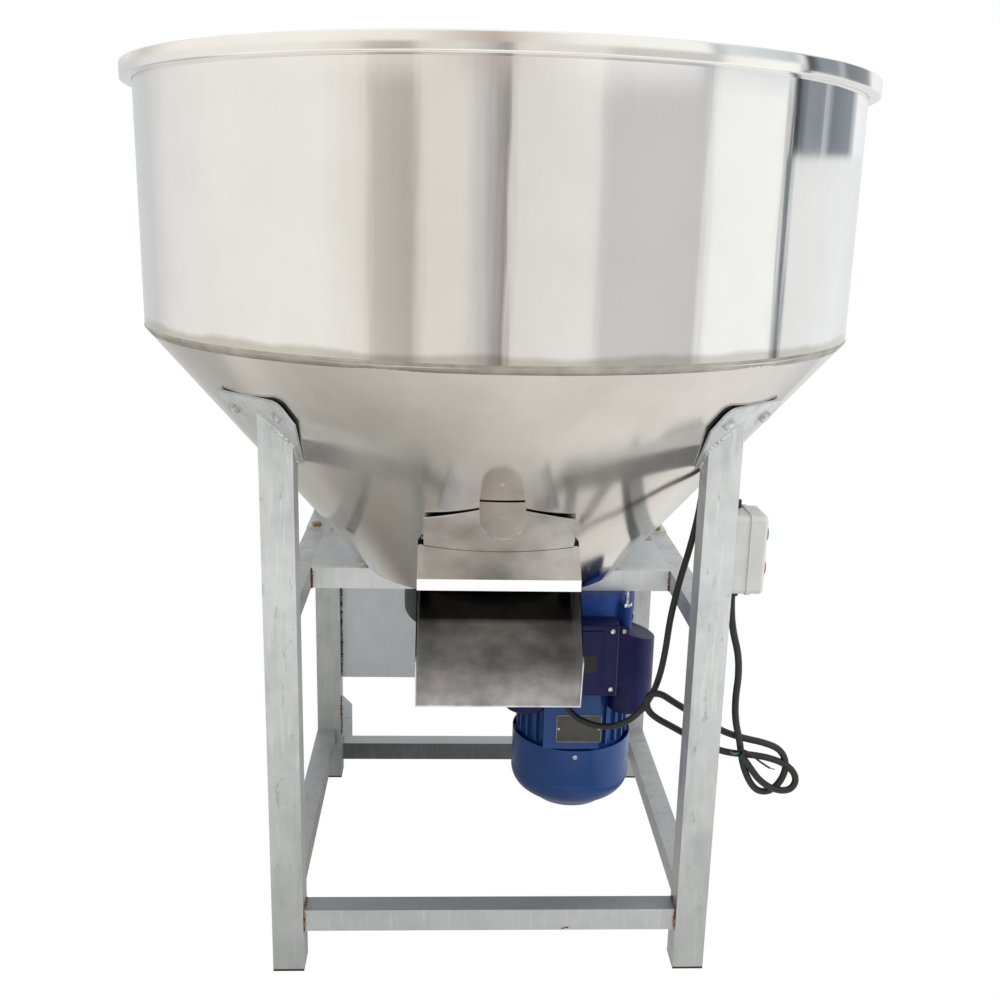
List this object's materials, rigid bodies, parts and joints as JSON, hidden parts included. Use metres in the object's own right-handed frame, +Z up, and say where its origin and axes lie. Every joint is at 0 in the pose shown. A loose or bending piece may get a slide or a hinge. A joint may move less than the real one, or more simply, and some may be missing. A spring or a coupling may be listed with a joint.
{
  "type": "feed mixer",
  "caption": "Vertical feed mixer: open barrel with a conical base on a square-tube stand, geared motor below, turning mixing arms, chute with a slide gate, and a push-button box.",
  "frame": {"origin": "centre of the barrel's vertical axis at the level of the feet, which is the bottom centre of the bounding box", "axes": "+Z up along the barrel's axis, -Y towards the chute and the operator, +X to the operator's right, where the switch box is"},
  "size_m": [0.9529, 0.953, 1.1287],
  "materials": {
    "galvanised_steel": "welded square tube and sheet with a dull spangled zinc coat",
    "stainless_sheet": "cold-rolled stainless sheet, soft reflections and faint smudges",
    "polished_stainless": "polished stainless band",
    "black_rubber": "matt black rubber",
    "zinc_bolts": "bright zinc plating",
    "yellow_zinc": "yellow passivated zinc plating",
    "green_casting": "cast iron with dark green enamel",
    "machined_steel": "turned and hobbed steel, oiled",
    "blue_aluminium": "cast aluminium with gloss blue enamel",
    "blue_paint": "pressed steel with gloss blue enamel",
    "black_plastic": "moulded nylon",
    "blue_plastic": "moulded dark blue plastic",
    "grey_plastic": "moulded light grey plastic",
    "green_plastic": "moulded green plastic",
    "red_plastic": "moulded red plastic",
    "cord_rubber": "black rubber sheathed cable"
  },
  "bodies": {
    "root": {"leg_front_left": "galvanised_steel", "leg_front_right": "galvanised_steel", "leg_rear_left": "galvanised_steel", "leg_rear_right": "galvanised_steel", "lower_rail_front": "galvanised_steel", "lower_rail_rear": "galvanised_steel", "lower_rail_left": "galvanised_steel", "lower_rail_right": "galvanised_steel", "upper_rail_left": "galvanised_steel", "upper_rail_right": "galvanised_steel", "cross_rail_front": "galvanised_steel", "cross_rail_rear": "galvanised_steel", "bracket_front_left": "galvanised_steel", "bracket_front_right": "galvanised_steel", "bracket_rear_left": "galvanised_steel", "bracket_rear_right": "galvanised_steel", "mounting_plate": "galvanised_steel", "rear_shelf": "galvanised_steel", "rear_guard": "galvanised_steel", "earth_lug": "galvanised_steel", "barrel_wall": "stainless_sheet", "barrel_cone": "stainless_sheet", "barrel_floor": "stainless_sheet", "chute_hood": "stainless_sheet", "chute_tray": "stainless_sheet", "gate_guides": "stainless_sheet", "barrel_rim": "polished_stainless", "foot_caps": "black_rubber", "cord_grommets": "black_rubber", "bracket_bolts": "zinc_bolts", "drive_bolts": "zinc_bolts", "shelf_bolts": "yellow_zinc", "gearcase_body": "green_casting", "gearcase_cover": "green_casting", "shaft_bearings": "machined_steel", "stator": "machined_steel", "shaft_seal": "black_rubber", "motor_flange": "blue_aluminium", "motor_housing": "blue_aluminium", "fan_cowl": "blue_paint", "terminal_box": "blue_plastic", "terminal_lid": "blue_plastic", "capacitor_cover_left": "blue_plastic", "capacitor_cover_right": "blue_plastic", "switch_box_base": "grey_plastic", "switch_box_cover": "grey_plastic", "motor_lead": "cord_rubber", "power_cord": "cord_rubber", "power_hank": "cord_rubber"},
    "mixing_rotor": {"output_shaft": "machined_steel", "output_gear": "machined_steel", "mixer_hub": "stainless_sheet", "mixer_arms": "stainless_sheet"},
    "gear_layshaft": {"layshaft": "machined_steel", "layshaft_gear": "machined_steel"},
    "motor_shaft": {"motor_rotor": "machined_steel", "fan": "black_plastic"},
    "slide_gate": {"gate_plate": "stainless_sheet"},
    "start_push": {"start_button": "green_plastic"},
    "stop_push": {"stop_button": "red_plastic"}
  },
  "joints": [
    {"name": "mixer_spin", "type": "hinge", "parent": "root", "child": "mixing_rotor", "pos_m": [0, 0, 0.5], "axis": [0, 0, 1], "continuous": true},
    {"name": "layshaft_spin", "type": "hinge", "parent": "root", "child": "gear_layshaft", "pos_m": [0.10972, 0.06783, 0.42], "axis": [0, 0, 1], "continuous": true},
    {"name": "motor_spin", "type": "hinge", "parent": "root", "child": "motor_shaft", "pos_m": [0.127, 0, 0.3], "axis": [0, 0, 1], "continuous": true},
    {"name": "gate_slide", "type": "slide", "parent": "root", "child": "slide_gate", "axis": [0, -0.6406, 0.7679], "range_m": [0, 0.09]},
    {"name": "start_press", "type": "slide", "parent": "root", "child": "start_push", "axis": [-1, 0, 0], "range_m": [0, 0.004], "stiffness_N_per_m": 500, "springref_m": -0.002},
    {"name": "stop_press", "type": "slide", "parent": "root", "child": "stop_push", "axis": [-1, 0, 0], "range_m": [0, 0.004], "stiffness_N_per_m": 500, "springref_m": -0.002}
  ],
  "couplings": [
    {"joint": "layshaft_spin", "follows": "mixer_spin", "ratio": -5.1429},
    {"joint": "motor_spin", "follows": "mixer_spin", "ratio": 18.857}
  ]
}
